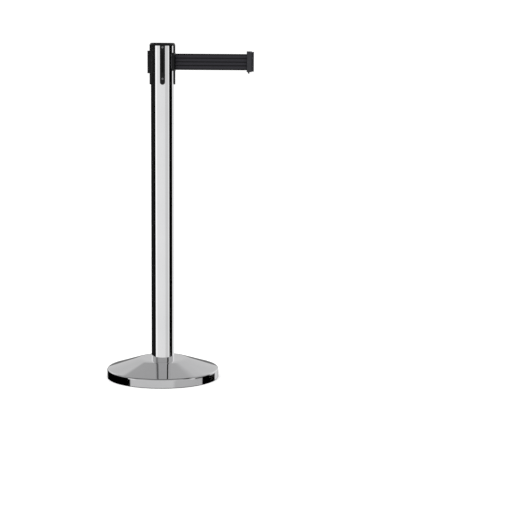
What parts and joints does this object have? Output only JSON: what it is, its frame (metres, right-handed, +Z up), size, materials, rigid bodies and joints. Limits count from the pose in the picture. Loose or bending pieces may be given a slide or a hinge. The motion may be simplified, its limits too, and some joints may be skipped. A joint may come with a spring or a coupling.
{
  "type": "retractable belt stanchion",
  "caption": "Queue post with a weighted round base, a polished tube and a four-way head that a ribbed belt is drawn out of, with a clip on its end.",
  "frame": {"origin": "on the floor, at the axis of the post", "axes": "+Z is up along the post, +X is the way the belt is drawn out, -Y is the front"},
  "size_m": [0.404, 0.31, 0.925],
  "materials": {
    "polished_steel": "mirror polished stainless steel",
    "cast_iron": "rough painted casting",
    "rubber": "matt rubber",
    "zinc_steel": "zinc plated",
    "spring_steel": "blued spring steel",
    "black_plastic": "fine satin moulding texture",
    "grey_plastic": "satin moulding",
    "white_plastic": "natural moulding",
    "bronze": "sintered",
    "webbing": "ribbed woven polyester",
    "felt": "pressed felt"
  },
  "bodies": {
    "post": {"floor_ring": "rubber", "base_weight": "cast_iron", "base_cover": "polished_steel", "base_bolt": "zinc_steel", "base_washer": "zinc_steel", "lock_washer": "zinc_steel", "foot_plug": "zinc_steel", "post_tube": "polished_steel", "cassette_housing": "black_plastic", "housing_lid": "black_plastic", "spring_cover": "black_plastic", "main_spring": "spring_steel", "lower_bush": "bronze", "upper_bush": "bronze", "belt_lead": "webbing", "roller_pins": "zinc_steel", "brake_pad": "felt", "brake_leaf": "spring_steel", "brake_rivet": "zinc_steel", "channel_front": "black_plastic", "channel_left": "black_plastic", "channel_rear": "black_plastic", "belt_mouth": "black_plastic", "channel_screws": "zinc_steel", "top_cap": "black_plastic"},
    "spool": {"spindle": "zinc_steel", "spindle_clip": "spring_steel", "spool": "white_plastic", "spool_flange": "white_plastic", "anchor_pin": "zinc_steel", "belt_roll": "webbing"},
    "roller_front": {"guide_roller_front": "white_plastic"},
    "roller_rear": {"guide_roller_rear": "white_plastic"},
    "belt_end": {"belt_clip": "grey_plastic", "belt_pin": "zinc_steel", "belt_span": "webbing"}
  },
  "joints": [
    {"name": "belt_pull", "type": "slide", "parent": "post", "child": "belt_end", "axis": [1, 0, 0], "range_m": [-0.193, 1.75], "deforming": ["belt_span"]},
    {"name": "spool_spin", "type": "hinge", "parent": "post", "child": "spool", "pos_m": [0, 0, 0.874], "axis": [0, 0, 1], "range_deg": [-6870, 780]},
    {"name": "roller_front_spin", "type": "hinge", "parent": "post", "child": "roller_front", "pos_m": [0.02632, -0.003, 0.874], "axis": [0, 0, 1], "continuous": true},
    {"name": "roller_rear_spin", "type": "hinge", "parent": "post", "child": "roller_rear", "pos_m": [0.02632, 0.003, 0.874], "axis": [0, 0, 1], "continuous": true}
  ],
  "couplings": [
    {"joint": "spool_spin", "follows": "belt_pull", "rad_per_m": -68.3},
    {"joint": "roller_front_spin", "follows": "belt_pull", "rad_per_m": -416.67},
    {"joint": "roller_rear_spin", "follows": "belt_pull", "rad_per_m": 416.67}
  ]
}
